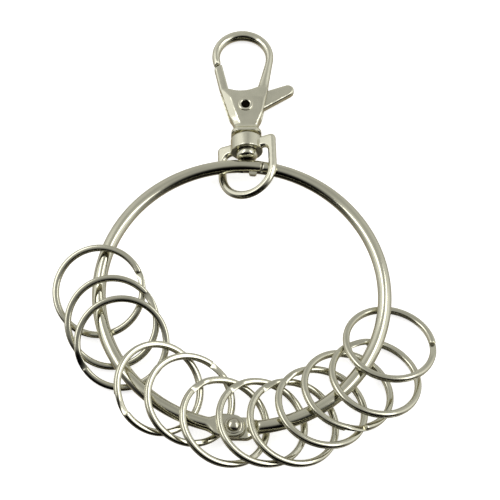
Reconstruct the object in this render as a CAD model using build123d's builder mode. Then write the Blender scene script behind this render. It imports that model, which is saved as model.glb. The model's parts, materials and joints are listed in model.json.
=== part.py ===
"""Hinged key ring with twelve split rings and a swivel lobster clasp.

Millimetres, +Z up. The origin is the centre of the big ring, on the surface that everything lies
on. The hinge is towards -Y, the closing joint and the clasp towards +Y.
"""

import os
from math import asin, atan2, cos, degrees, radians, sin, tan

from build123d import *

# ---------------------------------------------------------------- big ring
ring_outer_diameter = 76.2
wire_diameter = 3.5
turning_clearance = 0.05  # round a pin, and between faces that turn on each other
wire_end_bevel = 0.4
quarter_flats = 3  # that stand in for the round of the wire, and of blunted corners

# hinge: each half ends in a flattened ear of half the wire's thickness
ear_width = 5.9
ear_neck_angle = 11.0  # from the rivet to where the wire is round again
ear_edge_radius = 0.5
ear_bevel = 0.3
rivet_diameter = 2.2
rivet_flange_diameter = 4.4
rivet_flange_thickness = 0.3
rivet_dome_diameter = 3.4
rivet_dome_height = 1.0
rivet_tail_diameter = 3.2
rivet_tail_depth = 0.5
dome_flats = 4  # that stand in for the round of the rivet's and the swivel post's domes

# closing joint: a flat tongue on the right half slides into a slot in the left half
closing_offset = 3.0  # from the middle of the ring to the end of the left half
closing_gap = 0.15
tongue_length = 5.0
tongue_thickness = 1.2
nub_width = 2.0
nub_height = 0.75
nub_inset = 2.2  # from the end of the left half to the middle of the nub

# ---------------------------------------------------------------- split rings
split_outer_diameter = 24.0
split_wire_width = 1.7
split_wire_thickness = 0.82
split_turn_gap = 0.06
split_sides = 36  # flats that stand in for the round of a turn
split_jog_sides = 3  # over which the wire climbs from one turn to the next
split_open_sides = 4  # each side of the jog, where the turns stand a hairline apart

under_wire_clearance = 0.7  # between the low side of a split ring and the wire above it
stack_gap = 0.15  # between neighbours where they are closest
stack_reach = 6.0  # how far inside the wire's circle that is

# How each one lies: angle round the big ring, how far its centre is outside the wire's circle,
# its tilt beyond the one that stacking needs, the turn of its lean away from the wire, how high
# its low side is held by its neighbour, and where its jog is, counted from its low side
split_ring_places = [
    (183.0, 0.0, -1.5, -24.0, 0.0, 125.0),
    (198.0, -2.5, 1.5, -10.0, 0.0, 114.0),
    (208.5, -3.0, 1.5, -20.0, 0.0, 287.0),
    (235.5, -2.75, 6.0, 18.0, 0.0, 228.0),
    (249.5, -4.5, 2.0, 11.0, 0.0, 60.0),
    (266.5, -1.25, 1.5, 15.0, 0.0, 120.0),
    (281.5, -1.25, -1.0, 9.0, 0.0, 107.0),
    (293.5, 0.5, -2.0, 1.0, 0.0, 100.0),
    (306.0, 0.25, 0.0, 10.0, 0.5, 94.0),
    (318.5, 0.75, -0.5, -1.0, 0.0, 233.0),
    (329.0, 4.0, 0.0, -3.0, 0.0, 58.0),
    (343.5, 3.25, -1.5, -2.0, 0.0, 284.0),
]

# ---------------------------------------------------------------- swivel loop
loop_width = 16.6
loop_length = 17.4  # from the straight bar to the bottom of the bow
loop_leg_width = 2.1
loop_thickness = 2.0
loop_bar_width = 3.3
loop_window_radius = 1.5  # in the window's corners beside the hub
loop_corner_radius = 1.2
loop_bevel = 0.62
loop_wire_gap = 0.5  # between the wire and the loop's legs, were they lying flat over it
loop_lift = 0.2  # of the swivel's axis above the wire where it passes over it
hub_diameter = 8.4
hub_length = 4.1
hub_overhang = 0.6  # of the hub past the outside of the bar
hub_bevel = 0.3
hub_to_wire = 8.4  # from the hub's outer face to the wire's middle
swivel_across = -0.8  # of the swivel's axis from the middle of the ring, where it meets the wire
swivel_yaw = 5.0  # turn of the swivel's axis to the left of +Y

# ---------------------------------------------------------------- swivel post
post_diameter = 3.4
post_head_diameter = 5.6
post_head_rim = 0.5
post_head_wire_gap = 0.3
post_seat_depth = 3.2  # in the clasp's neck

# ---------------------------------------------------------------- clasp body and hook
neck_gap = 0.15  # between the neck and the hub it turns on
neck_width = 8.5
neck_thickness = 6.8
neck_length = 3.5
neck_bevel = 0.6
neck_corner_radius = 3.0
foot_corner_radius = 1.2
foot_width = 7.5
body_thickness = 4.8
body_length = 15.1  # from the neck's foot to the shoulder by the gate
shoulder_rise = 0.7  # of the hook leg's root above that shoulder
taper_start = 11.7  # where the body starts to thin towards the hook
bevel_width = 1.9  # along the body's left side, above and below
bevel_depth = 1.0
body_bevel = 0.35
body_sag = 1.0  # of the hollow edge between the shoulders
leg_root_radius = 1.2  # where the hook's leg leaves that edge

hook_outer_radius = 8.4
hook_across = -0.2  # of the hook's middle from the swivel's axis
hook_middle_height = 26.4  # of the hook's middle above the neck's foot
hook_thickness = 3.0
hook_bar_width = 2.25
hook_crown_width = 2.85
hook_outer_lean = 10.5  # of the hook's sides from the swivel's axis
hook_inner_lean = 16.0
hook_bevel = 0.8

# ---------------------------------------------------------------- gate
pivot_height = 9.4  # above the neck's foot
pivot_diameter = 3.0
pivot_hole_diameter = 2.3
pivot_flange_diameter = 4.0
pivot_flange_thickness = 0.3
gate_thickness = 2.2
gate_side_clearance = 0.08
gate_hub_radius = 3.0
gate_reach = 15.3  # from the pivot to the gate's tip
gate_root_width = 2.4
gate_end_gap = 0.15
gate_bevel = 0.3
tab_length = 12.8
tab_rise = 25.5
tab_end_radius = 1.65
spring_wire = 0.4
spring_turns = 2
spring_clearance = 0.12

# ---------------------------------------------------------------- worked out from them
wire_radius = wire_diameter / 2
ring_mid_radius = ring_outer_diameter / 2 - wire_radius
split_radius = split_outer_diameter / 2
split_thickness = 2 * split_wire_thickness + split_turn_gap
station_angles = [place[0] for place in split_ring_places]
closest_step = min(after - before for before, after in zip(station_angles, station_angles[1:]))
closest_run = 2 * sin(radians(closest_step / 2)) * (ring_mid_radius - stack_reach)
stacking_tilt = degrees(asin((split_thickness + stack_gap) / closest_run))


def low_side_height(tilt):
    """Top of a tilted split ring's low side, above the surface."""
    return split_thickness * cos(radians(tilt)) + split_wire_width * sin(radians(tilt))


steepest = stacking_tilt + max(place[2] for place in split_ring_places)
ring_height = wire_radius + under_wire_clearance + low_side_height(steepest)


def blunt_corners(width, height, radius):
    """Corners of a rectangle whose own corners are blunted by flats; all round if they meet."""
    corners = []
    for side, top in ((1, 1), (-1, 1), (-1, -1), (1, -1)):
        middle = (side * (width / 2 - radius), top * (height / 2 - radius))
        turns = [90 * (flat + 0.5) / quarter_flats for flat in range(quarter_flats)]
        for turn in turns if side == top else reversed(turns):
            across = radius * cos(radians(turn))
            up = radius * sin(radians(turn))
            corners.append((middle[0] + side * across, middle[1] + top * up))
    return corners


def dome_points(radius, height):
    """(out, up) points of a dome's side, from its rim to its crown."""
    sphere = (radius**2 + height**2) / (2 * height)
    rim_turn = asin(radius / sphere)
    turns = [rim_turn * (1 - flat / dome_flats) for flat in range(1, dome_flats + 1)]
    return [(sphere * sin(turn), height - sphere * (1 - cos(turn))) for turn in turns]


# ================================================================ big ring
def wire_station(angle):
    """Plane across the big ring's wire: local X points outwards and local Y up."""
    a = radians(angle)
    middle = (ring_mid_radius * cos(a), ring_mid_radius * sin(a), ring_height)
    return Plane(origin=middle, x_dir=(cos(a), sin(a), 0), z_dir=(sin(a), -cos(a), 0))


hinge_angle = 270.0
rivet_point = (0, -ring_mid_radius)
ear_radius = ear_width / 2
ear_thickness = wire_radius - turning_clearance / 2
ear_root_angle = degrees((ear_radius + 2 * turning_clearance) / ring_mid_radius)
left_end_angle = 90 - degrees(closing_offset / ring_mid_radius)
right_end_angle = left_end_angle - degrees(closing_gap / ring_mid_radius)
tongue_tip_angle = left_end_angle + degrees(tongue_length / ring_mid_radius)
slot_floor_angle = tongue_tip_angle + degrees(4 * closing_gap / ring_mid_radius)


def wire_section(radius):
    """Round of the wire, by its flats."""
    with BuildSketch() as section:
        Polygon(*blunt_corners(2 * radius, 2 * radius, radius), align=None)
    return section.sketch


def wire_run(from_angle, to_angle):
    """Round wire along the big ring's circle."""
    with BuildPart() as run:
        with BuildLine(Plane.XY.offset(ring_height)) as path:
            CenterArc((0, 0), ring_mid_radius, from_angle, to_angle - from_angle)
        with BuildSketch(wire_station(from_angle)):
            add(wire_section(wire_radius))
        sweep(path=path.line)
    return run.part


def flattened_end(side, layer):
    """Neck and ear of one half; side is -1 for left and 1 for right, layer 1 on top."""
    middle = layer * (turning_clearance + ear_thickness) / 2
    ear_floor = ring_height + middle - ear_thickness / 2
    with BuildPart() as end:
        with BuildSketch(Plane.XY.offset(ear_floor)):
            with Locations(rivet_point):
                Circle(ear_radius)
                with Locations((side * ear_radius / 2, 0)):
                    Rectangle(ear_radius, ear_width)
        extrude(amount=ear_thickness)
        chamfer(end.edges().filter_by(GeomType.CIRCLE), ear_bevel)
        with BuildSketch(wire_station(hinge_angle + side * ear_neck_angle)):
            add(wire_section(wire_radius))
        with BuildSketch(wire_station(hinge_angle + side * ear_root_angle)):
            with Locations((0, middle)):
                Polygon(*blunt_corners(ear_width, ear_thickness, ear_edge_radius), align=None)
        loft(ruled=True)
    return end.part


def closing_slab(from_angle, to_angle, thickness):
    """Flat slab in the ring's plane across the wire at the closing joint."""
    size = to_angle - from_angle
    with BuildPart() as slab:
        with BuildSketch(Plane.XY.offset(ring_height - thickness / 2)):
            with BuildLine():
                outer = CenterArc((0, 0), ring_mid_radius + wire_diameter, from_angle, size)
                inner = CenterArc((0, 0), ring_mid_radius - wire_diameter, from_angle, size)
                Line(outer @ 0, inner @ 0)
                Line(outer @ 1, inner @ 1)
            make_face()
        extrude(amount=thickness)
    return slab.part


def bevelled_end(from_angle, to_angle):
    """Last stretch of the wire before its cut end at the closing joint."""
    with BuildPart() as end:
        for angle, radius in ((from_angle, wire_radius), (to_angle, wire_radius - wire_end_bevel)):
            with BuildSketch(wire_station(angle)):
                add(wire_section(radius))
        loft(ruled=True)
    return end.part


bevel_angle = degrees(wire_end_bevel / ring_mid_radius)
left_wire = wire_run(left_end_angle + bevel_angle, hinge_angle - ear_neck_angle)
left_wire_end = bevelled_end(left_end_angle + bevel_angle, left_end_angle)
left_ear = flattened_end(-1, 1)
slot = closing_slab(left_end_angle - 10, slot_floor_angle, tongue_thickness + 2 * turning_clearance)

with BuildPart() as ring_half_left:
    add(left_wire)
    add(left_wire_end)
    add(left_ear)
    add(slot, mode=Mode.SUBTRACT)
    with Locations((*rivet_point, ring_height)):
        Hole(rivet_diameter / 2)

right_wire = wire_run(hinge_angle + ear_neck_angle, 360 + right_end_angle - bevel_angle)
right_wire_end = bevelled_end(right_end_angle - bevel_angle, right_end_angle)
tongue_wire = wire_run(right_end_angle, tongue_tip_angle)
tongue_slab = closing_slab(right_end_angle - 1, tongue_tip_angle + 1, tongue_thickness)
right_ear = flattened_end(1, -1)

with BuildPart() as closing_tongue:
    add(tongue_wire)
    nub_angle = left_end_angle + degrees(nub_inset / ring_mid_radius)
    nub_plane = wire_station(nub_angle)
    with BuildSketch(Plane(nub_plane.origin, x_dir=-nub_plane.z_dir, z_dir=(0, 0, 1))):
        with Locations((0, wire_radius)):
            RectangleRounded(nub_width, 2 * nub_height, nub_height / 2)
    extrude(amount=tongue_thickness / 2, both=True)
    add(tongue_slab, mode=Mode.INTERSECT)

with BuildPart() as ring_half_right:
    add(right_wire)
    add(right_wire_end)
    add(closing_tongue.part)
    add(right_ear)
    with Locations((*rivet_point, ring_height)):
        Hole(rivet_diameter / 2 + turning_clearance)
    with BuildSketch(Plane.XY.offset(ring_height - wire_radius)):
        with Locations(rivet_point):
            Circle(rivet_tail_diameter / 2 + turning_clearance)
    extrude(amount=rivet_tail_depth + turning_clearance, mode=Mode.SUBTRACT)

ear_top = ring_height + wire_radius
ear_bottom = ring_height - wire_radius
flange_top = ear_top + rivet_flange_thickness

with BuildPart() as hinge_rivet:
    with BuildSketch(Plane.XZ.offset(ring_mid_radius)):
        dome = dome_points(rivet_dome_diameter / 2, rivet_dome_height)
        Polygon(
            (0, ear_bottom),
            (rivet_tail_diameter / 2, ear_bottom),
            (rivet_diameter / 2, ear_bottom + rivet_tail_depth),
            (rivet_diameter / 2, ear_top),
            (rivet_flange_diameter / 2, ear_top),
            (rivet_flange_diameter / 2, flange_top),
            (rivet_dome_diameter / 2, flange_top),
            *[(out, flange_top + up) for out, up in dome],
            align=None,
        )
    revolve(axis=Axis((*rivet_point, 0), (0, 0, 1)))


# ================================================================ split rings
side_angle = 360 / split_sides
turn_rise = split_wire_thickness + split_turn_gap


def split_corner(radius, corner):
    """Point on a turn's outline; corners are counted from the middle of the jog."""
    turn = radians(corner * side_angle)
    return (radius * cos(turn), radius * sin(turn))


def turn_sector(from_corner, sides, thickness):
    """Some sides of a turn as a flat strip, halfway up the two turns."""
    corners = [from_corner + step for step in range(sides + 1)]
    outside = [split_corner(split_radius, corner) for corner in corners]
    inside = [split_corner(split_radius - split_wire_width, corner) for corner in corners]
    with BuildPart() as sector:
        with BuildSketch():
            Polygon(*outside, *reversed(inside), align=None)
        extrude(amount=thickness / 2, both=True)
    return sector.part


half_jog = split_jog_sides / 2
both_turns = turn_sector(half_jog, split_sides - split_jog_sides, split_thickness)
upper_slit = turn_sector(half_jog, split_open_sides, split_turn_gap)
lower_slit = turn_sector(-half_jog - split_open_sides, split_open_sides, split_turn_gap)

with BuildPart() as split_ring_blank:
    for step in range(split_jog_sides + 1):
        corner = step - half_jog
        turn = radians(corner * side_angle)
        rise = -corner / split_jog_sides * turn_rise
        outwards = (cos(turn), sin(turn), 0)
        with BuildSketch(Plane((0, 0, 0), x_dir=outwards, z_dir=(-sin(turn), cos(turn), 0))):
            with Locations((split_radius - split_wire_width / 2, rise)):
                Rectangle(split_wire_width, split_wire_thickness)
    loft(ruled=True)
    add(both_turns)
    add(upper_slit, mode=Mode.SUBTRACT)
    add(lower_slit, mode=Mode.SUBTRACT)


def split_ring_plane(angle, offset, tilt_change, lean_turn, lift):
    """Middle plane of a split ring as it lies; local X points to its low side."""
    tilt = radians(stacking_tilt + tilt_change)
    lean = radians(angle + 90 + lean_turn)
    reach = ring_mid_radius + offset
    height = split_radius * sin(tilt) + split_thickness / 2 * cos(tilt) + lift
    return Plane(
        origin=(reach * cos(radians(angle)), reach * sin(radians(angle)), height),
        x_dir=(cos(tilt) * cos(lean), cos(tilt) * sin(lean), -sin(tilt)),
        z_dir=(sin(tilt) * cos(lean), sin(tilt) * sin(lean), cos(tilt)),
    )


split_rings = []
for *place, jog_turn in split_ring_places:
    with BuildPart() as split_ring:
        with Locations(split_ring_plane(*place).location * Rotation(0, 0, jog_turn)):
            add(split_ring_blank.part)
    split_rings.append(split_ring)


# ================================================================ swivel
hub_radius = hub_diameter / 2
half_leg_spacing = (loop_width - loop_leg_width) / 2
loop_roll = degrees(asin((wire_radius + loop_thickness / 2 + loop_wire_gap) / half_leg_spacing))
swivel_height = ring_height + loop_lift
hook_reach = hub_to_wire + neck_gap + hook_middle_height + hook_outer_radius
swivel_yaw_turn = radians(swivel_yaw)
swivel_pitch = asin((swivel_height - hook_thickness / 2) / (hook_reach - hook_bevel))
over_wire = Plane(
    origin=(swivel_across, ring_mid_radius, swivel_height),
    x_dir=(cos(swivel_yaw_turn), sin(swivel_yaw_turn), 0),
    z_dir=(
        -sin(swivel_yaw_turn) * sin(swivel_pitch),
        cos(swivel_yaw_turn) * sin(swivel_pitch),
        cos(swivel_pitch),
    ),
)
hub_plane = Plane(over_wire.location * Location((0, hub_to_wire, 0)))
loop_plane = Plane(hub_plane.location * Rotation(0, -loop_roll, 0))
clasp_plane = Plane(hub_plane.location * Location((0, neck_gap, 0)))


def across(plane, along=0.0):
    """Plane across the swivel's axis; its local Z points back towards the big ring."""
    return Plane(plane.location * Location((0, along, 0)) * Rotation(90, 0, 0))


bar_outside = -hub_overhang
bow_middle = bar_outside - loop_length + loop_width / 2


def d_outline(width, top, corner_radius):
    """Straight across the top with rounded corners, half a circle at the bottom."""
    with BuildSketch() as outline:
        with BuildLine():
            bow = CenterArc((0, bow_middle), width / 2, 180, 180)
            Polyline(bow @ 1, (width / 2, top), (-width / 2, top), bow @ 0)
        make_face()
        fillet(outline.vertices().group_by(Axis.Y)[-1], corner_radius)
    return outline.sketch


with BuildPart() as swivel_loop:
    with BuildSketch(loop_plane):
        add(d_outline(loop_width, bar_outside, loop_corner_radius))
        window = d_outline(
            loop_width - 2 * loop_leg_width, bar_outside - loop_bar_width, loop_window_radius
        )
        add(window, mode=Mode.SUBTRACT)
    extrude(amount=loop_thickness / 2, both=True)
    flat_faces = swivel_loop.faces().filter_by(Plane(loop_plane.origin, z_dir=loop_plane.z_dir))
    chamfer(flat_faces.edges(), loop_bevel)
    with BuildSketch(across(loop_plane)):
        Circle(hub_radius)
    extrude(amount=hub_length)
    hub_ends = swivel_loop.faces().filter_by(Plane(loop_plane.origin, z_dir=loop_plane.y_dir))
    chamfer(hub_ends.sort_by(Axis(loop_plane.origin, loop_plane.y_dir))[-1].edges(), hub_bevel)
    with BuildSketch(across(loop_plane)):
        Circle(post_diameter / 2 + turning_clearance)
    extrude(amount=hub_length, mode=Mode.SUBTRACT)

head_start = -hub_length - turning_clearance
head_end = post_head_wire_gap + wire_radius - hub_to_wire
head_radius = post_head_diameter / 2

with BuildPart() as swivel_post:
    with BuildSketch(hub_plane):
        rim_end = head_start - post_head_rim
        Polygon(
            (0, neck_gap + post_seat_depth),
            (post_diameter / 2, neck_gap + post_seat_depth),
            (post_diameter / 2, head_start),
            (head_radius, head_start),
            (head_radius, rim_end),
            *[(out, rim_end - up) for out, up in dome_points(head_radius, rim_end - head_end)],
            align=None,
        )
    revolve(axis=Axis(hub_plane.origin, hub_plane.y_dir))


# ================================================================ clasp body
hook_middle = (hook_across, hook_middle_height)
opening_radius = hook_outer_radius - hook_bar_width
opening_middle = (hook_across, hook_middle_height - hook_crown_width + hook_bar_width)


def tangent_point(middle, radius, lean, side):
    """Where a line leaning in towards the neck leaves a circle; side is -1 left, 1 right."""
    turn = radians(lean)
    return (middle[0] + side * radius * cos(turn), middle[1] - radius * sin(turn))


def down_to(point, lean, side, height):
    """Point at a height on the line that leans in towards the neck from a point."""
    return (point[0] - side * (point[1] - height) * tan(radians(lean)), height)


outer_left = tangent_point(hook_middle, hook_outer_radius, hook_outer_lean, -1)
outer_right = tangent_point(hook_middle, hook_outer_radius, hook_outer_lean, 1)
shoulder_left = down_to(outer_left, hook_outer_lean, -1, body_length)
shoulder_right = down_to(outer_right, hook_outer_lean, 1, body_length)
inner_right = tangent_point(opening_middle, opening_radius, hook_inner_lean, 1)
root_right = down_to(inner_right, hook_inner_lean, 1, body_length + shoulder_rise)
root_left = (shoulder_left[0] + gate_root_width, body_length)
sag_point = (
    (root_left[0] + root_right[0]) / 2,
    (root_left[1] + root_right[1]) / 2 - body_sag,
)
pivot_point = (0, pivot_height)
foot_left = (-foot_width / 2, neck_length)
foot_right = (foot_width / 2, neck_length)
slot_thickness = gate_thickness + 2 * gate_side_clearance


def outer_outline():
    """Hook and body in one outline round the opening, as if the gate were part of them."""
    with BuildSketch() as outline:
        with BuildLine():
            start = Line(shoulder_left, outer_left)
            turn = 180 + 2 * hook_outer_lean
            rim = CenterArc(hook_middle, hook_outer_radius, 180 + hook_outer_lean, -turn)
            Polyline(rim @ 1, shoulder_right, foot_right, foot_left, start @ 0)
        make_face()
        with BuildSketch(mode=Mode.SUBTRACT) as opening:
            with BuildLine():
                top = CenterArc(opening_middle, opening_radius, 180, -180 - hook_inner_lean)
                Line(top @ 1, root_right)
                ThreePointArc(root_right, sag_point, root_left)
                Line(root_left, top @ 0)
            make_face()
            fillet(opening.vertices().sort_by_distance(Vertex(*root_right))[0], leg_root_radius)
    return outline.sketch


def gate_zone(reach):
    """The part of the outline's left side that the gate closes, as far out as its reach."""
    with BuildSketch() as zone:
        with Locations(pivot_point):
            Circle(reach)
        with Locations(root_left):
            Rectangle(reach, reach, align=(Align.MAX, Align.MIN), mode=Mode.INTERSECT)
    return zone.sketch


def on_clasp(shape):
    """Middle of an edge or face in the clasp's own plane."""
    return clasp_plane.to_local_coords(shape.center())


def beside_body(shape):
    """Whether an edge or face lies between the neck and the shoulders."""
    return neck_length < on_clasp(shape).Y < body_length - body_sag


half_body = body_thickness / 2
half_hook = hook_thickness / 2
flat_in_clasp = Plane(clasp_plane.origin, z_dir=clasp_plane.z_dir)
flank_lean = degrees(atan2(foot_left[0] - shoulder_left[0], body_length - neck_length))
flank_foot = Location((*foot_left, 0), (0, 0, flank_lean))
flank_end = Plane(clasp_plane.location * flank_foot * Rotation(90, 0, 0))

with BuildPart() as hook:
    with BuildSketch(clasp_plane):
        add(outer_outline())
        add(gate_zone(gate_reach + gate_end_gap), mode=Mode.SUBTRACT)
    extrude(amount=half_hook, both=True)
    chamfer(hook.faces().filter_by(flat_in_clasp).edges(), hook_bevel)

with BuildPart() as body:
    with BuildSketch(clasp_plane):
        add(outer_outline())
        add(gate_zone(gate_reach + gate_end_gap), mode=Mode.SUBTRACT)
    extrude(amount=half_body, both=True)
    rims = body.faces().filter_by(flat_in_clasp).edges()
    chamfer(rims.filter_by(beside_body).sort_by(lambda rim: on_clasp(rim).X)[-2:], body_bevel)
    for side in (-1, 1):
        with BuildSketch(flank_end):
            Polygon(
                (-bevel_width, side * (half_body - 2 * bevel_depth)),
                (2 * bevel_width, side * (half_body + bevel_depth)),
                (-bevel_width, side * (half_body + bevel_depth)),
                align=None,
            )
        extrude(amount=body_length, both=True, mode=Mode.SUBTRACT)
    with BuildSketch(Plane(clasp_plane.location * Rotation(0, 90, 0))):
        Polygon(
            (half_body, neck_length),
            (half_body, taper_start),
            (half_hook, root_right[1]),
            (-half_hook, root_right[1]),
            (-half_body, taper_start),
            (-half_body, neck_length),
            align=None,
        )
    extrude(amount=hook_outer_radius, both=True, mode=Mode.INTERSECT)

# the slot that the gate turns in; the root of the hook's leg stays solid above the thumb tab
tab_taper = degrees(asin((gate_hub_radius - tab_end_radius) / tab_length))
tab_edge_lean = radians(tab_rise - tab_taper)
leg_root_left = gate_hub_radius - 4 * gate_end_gap


def above_tab(x):
    """Point just above the thumb tab's upper edge while the gate is closed."""
    clear = (gate_hub_radius + gate_end_gap) / cos(tab_edge_lean)
    return (x, pivot_height + clear + x * tan(tab_edge_lean))


slot_floor = pivot_height - gate_hub_radius - 2 * gate_end_gap
slot_top = root_right[1] + half_hook
slot_side = hook_outer_radius

with BuildPart() as clasp_body:
    add(hook.part)
    add(body.part)
    with BuildSketch(across(clasp_plane)):
        Polygon(*blunt_corners(neck_width, neck_thickness, neck_corner_radius), align=None)
    with BuildSketch(across(clasp_plane, neck_length)):
        Polygon(*blunt_corners(foot_width, body_thickness, foot_corner_radius), align=None)
    loft(ruled=True)
    foot = clasp_body.faces().sort_by(lambda face: on_clasp(face).Y)[0]
    chamfer(foot.edges(), neck_bevel)
    with BuildSketch(clasp_plane):
        Polygon(
            (-slot_side, slot_floor),
            (slot_side, slot_floor),
            above_tab(slot_side),
            above_tab(leg_root_left),
            (leg_root_left, slot_top),
            (-slot_side, slot_top),
            align=None,
        )
    extrude(amount=slot_thickness / 2, both=True, mode=Mode.SUBTRACT)
    with BuildSketch(clasp_plane):
        with Locations(pivot_point):
            Circle(pivot_diameter / 2)
    extrude(amount=half_body, both=True, mode=Mode.SUBTRACT)
    with BuildSketch(across(clasp_plane)):
        Circle(post_diameter / 2)
    extrude(amount=-post_seat_depth, mode=Mode.SUBTRACT)


# ================================================================ gate
pivot_plane = Plane(clasp_plane.location * Location((*pivot_point, 0)))
coil_radius = pivot_diameter / 2 + spring_clearance + spring_wire / 2
coil_pitch = spring_wire + turning_clearance
coil_height = spring_turns * coil_pitch + spring_wire
pocket_radius = coil_radius + spring_wire / 2 + spring_clearance
pocket_depth = coil_height + spring_clearance

with BuildPart() as gate_lever:
    with BuildSketch(clasp_plane):
        add(outer_outline())
        add(gate_zone(gate_reach), mode=Mode.INTERSECT)
        with BuildSketch():
            Polygon(shoulder_left, root_left, pivot_point, align=None)
            with Locations(pivot_point):
                Circle(gate_hub_radius)
            make_hull()
        with BuildSketch():
            with Locations(pivot_point):
                Circle(gate_hub_radius)
                with PolarLocations(tab_length, 1, start_angle=tab_rise):
                    Circle(tab_end_radius)
            make_hull()
    extrude(amount=gate_thickness / 2, both=True)
    chamfer(gate_lever.faces().filter_by(flat_in_clasp).edges(), gate_bevel)
    with BuildSketch(pivot_plane):
        Circle(pivot_diameter / 2 + turning_clearance)
    extrude(amount=gate_thickness / 2, both=True, mode=Mode.SUBTRACT)
    with BuildSketch(pivot_plane.offset(-gate_thickness / 2)):
        Circle(pocket_radius)
    extrude(amount=pocket_depth, mode=Mode.SUBTRACT)

flange_outside = half_body + pivot_flange_thickness

with BuildPart() as gate_pivot:
    with BuildSketch(pivot_plane):
        Circle(pivot_diameter / 2)
    extrude(amount=half_body, both=True)
    for side in (-1, 1):
        with BuildSketch(pivot_plane.offset(side * half_body)):
            Circle(pivot_flange_diameter / 2)
        extrude(amount=side * pivot_flange_thickness)
    with BuildSketch(pivot_plane):
        Circle(pivot_hole_diameter / 2)
    extrude(amount=flange_outside, both=True, mode=Mode.SUBTRACT)

coil_floor = pivot_plane.offset(spring_wire / 2 - gate_thickness / 2)

with BuildPart() as gate_spring:
    with BuildLine(coil_floor) as coil:
        Helix(coil_pitch, spring_turns * coil_pitch, coil_radius)
    with BuildSketch(Plane(coil.edges()[0] @ 0, x_dir=coil_floor.x_dir, z_dir=coil_floor.y_dir)):
        Rectangle(spring_wire, spring_wire)
    sweep(path=coil.wires()[0], is_frenet=True)

os.makedirs("parts", exist_ok=True)
pieces = {
    "ring_half_left": ring_half_left,
    "ring_half_right": ring_half_right,
    "hinge_rivet": hinge_rivet,
    "swivel_loop": swivel_loop,
    "swivel_post": swivel_post,
    "clasp_body": clasp_body,
    "gate_lever": gate_lever,
    "gate_pivot": gate_pivot,
    "gate_spring": gate_spring,
}
for number, split_ring in enumerate(split_rings, 1):
    pieces[f"split_ring_{number:02d}"] = split_ring
for label, piece in pieces.items():
    piece.part.label = label
    export_step(piece.part, f"parts/{label}.step")
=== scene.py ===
"""Polished nickel looks for a hinged key ring with split rings and a swivel clasp.

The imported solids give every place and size. Wires are skinned round here, castings are softened
where they are, and each piece rides on the body it belongs to. Sizes are in metres, as the frame's.
"""

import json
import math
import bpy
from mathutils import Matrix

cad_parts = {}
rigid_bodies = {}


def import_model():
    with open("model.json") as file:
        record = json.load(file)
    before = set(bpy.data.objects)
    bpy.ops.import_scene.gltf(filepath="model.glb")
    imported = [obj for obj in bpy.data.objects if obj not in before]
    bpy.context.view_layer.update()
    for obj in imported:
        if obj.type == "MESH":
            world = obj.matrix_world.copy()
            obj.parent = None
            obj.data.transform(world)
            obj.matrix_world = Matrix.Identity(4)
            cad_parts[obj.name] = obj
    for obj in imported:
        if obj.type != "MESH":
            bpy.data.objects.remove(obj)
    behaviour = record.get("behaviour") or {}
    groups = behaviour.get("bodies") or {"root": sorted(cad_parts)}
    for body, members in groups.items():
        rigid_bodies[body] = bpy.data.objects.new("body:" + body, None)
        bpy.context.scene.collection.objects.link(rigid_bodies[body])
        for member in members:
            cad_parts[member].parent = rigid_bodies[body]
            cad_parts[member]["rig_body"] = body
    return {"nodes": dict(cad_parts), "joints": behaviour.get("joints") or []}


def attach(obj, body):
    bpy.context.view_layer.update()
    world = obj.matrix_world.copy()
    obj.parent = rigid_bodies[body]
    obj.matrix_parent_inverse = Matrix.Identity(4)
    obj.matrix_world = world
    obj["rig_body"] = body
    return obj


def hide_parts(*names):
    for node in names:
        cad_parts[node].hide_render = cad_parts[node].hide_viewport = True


bl_info = {
    "name": "Hinged Key Ring",
    "version": (1, 0, 0),
    "blender": (4, 5, 0),
    "location": "View3D > Sidebar > Key Ring",
    "description": "Dresses a hinged key ring, its split rings and its swivel clasp in nickel",
    "category": "Add Mesh",
}

import bmesh
import bpy
import numpy as np
from mathutils import Matrix, Vector

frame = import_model()
NODES = frame["nodes"]
JOINTS = {joint["name"]: joint for joint in frame["joints"]}
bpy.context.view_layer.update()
SPLIT_RINGS = sorted(name for name in NODES if name.startswith("split_ring_"))
MM = 0.001
HAIR = 0.01 * MM
UP = np.array((0.0, 0.0, 1.0))
CAD_CREASE = math.radians(30)  # from which an edge of a solid that is shown as it is stays sharp
SKIN_CREASE = math.radians(40)  # the same for a new mesh


# ---------------------------------------------------------------- shapes
def unit(vector):
    """The vector at length 1."""
    vector = np.asarray(vector, float)
    return vector / np.linalg.norm(vector)


def smooth_step(share):
    """Eases a share that runs from 0 to 1 at both of its ends."""
    return share * share * (3 - 2 * share)


def rounded_section(width, height, radius, corner_points=6):
    """Closed outline of a rounded rectangle round its middle; its count of points never changes."""
    radius = min(radius, width / 2 * 0.999, height / 2 * 0.999)
    points = []
    for corner in range(4):
        across = (width / 2 - radius) * (1 if corner in (0, 3) else -1)
        up = (height / 2 - radius) * (1 if corner in (0, 1) else -1)
        for step in range(corner_points):
            turn = math.radians(90 * (corner + step / (corner_points - 1)))
            points.append((across + radius * math.cos(turn), up + radius * math.sin(turn)))
    return np.array(points)


def crowned_section(width, height, level, squareness, points=28):
    """Closed outline that is widest at a level between -1, its bottom, and 1, its top."""
    turns = np.linspace(0, 2 * math.pi, points, endpoint=False)
    circle = np.cos(turns), np.sin(turns)
    across, up = (np.sign(part) * np.abs(part) ** (2 / squareness) for part in circle)
    reach = np.where(up > 0, 1 - level, 1 + level)
    return np.stack((width / 2 * across, height / 2 * (level + reach * up)), 1)


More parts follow.
